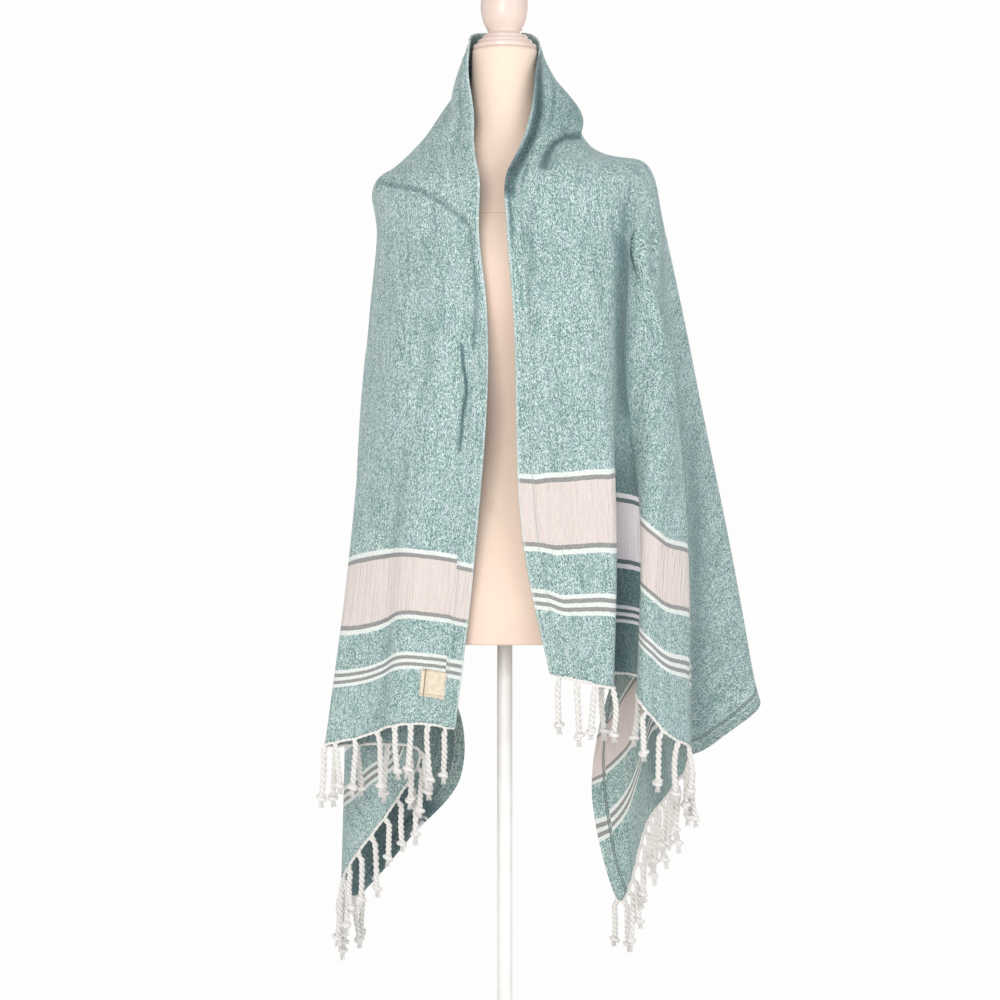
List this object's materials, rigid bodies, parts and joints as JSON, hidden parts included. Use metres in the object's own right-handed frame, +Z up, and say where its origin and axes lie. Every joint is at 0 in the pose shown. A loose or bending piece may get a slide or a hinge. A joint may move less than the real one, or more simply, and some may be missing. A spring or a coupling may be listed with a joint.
{
  "type": "hooded turkish towel wrap on a dress form",
  "caption": "Flat-woven striped towel with knotted fringe, draped as a hooded wrap on a limbless dress form with a turned cap, pole and round foot.",
  "frame": {"origin": "middle of the underside of the stand's round foot", "axes": "+Z up, the front of the dress form and the open front of the wrap face -Y, +X is the viewer's right"},
  "size_m": [0.5582, 0.3458, 1.6179],
  "materials": {
    "towel": "flat-woven melange cotton, matt, with white, grey and pale pink stripes",
    "fringe": "twisted and knotted natural cotton yarn, matt",
    "label": "woven cream tape, blank",
    "jersey": "fine peach-cream jersey, matt",
    "painted_wood": "turned, painted cream, satin",
    "painted_metal": "white powder coat, satin"
  },
  "bodies": {
    "root": {"towel_cloth": "towel", "front_hem": "towel", "lower_hem": "towel", "label": "label", "fringe_left": "fringe", "fringe_right": "fringe", "form_torso": "jersey", "cap_lower": "painted_wood", "cap_middle": "painted_wood", "cap_upper": "painted_wood", "finial": "painted_wood", "stand_collar": "painted_metal", "stand_pole": "painted_metal", "stand_foot": "painted_metal"}
  },
  "joints": []
}
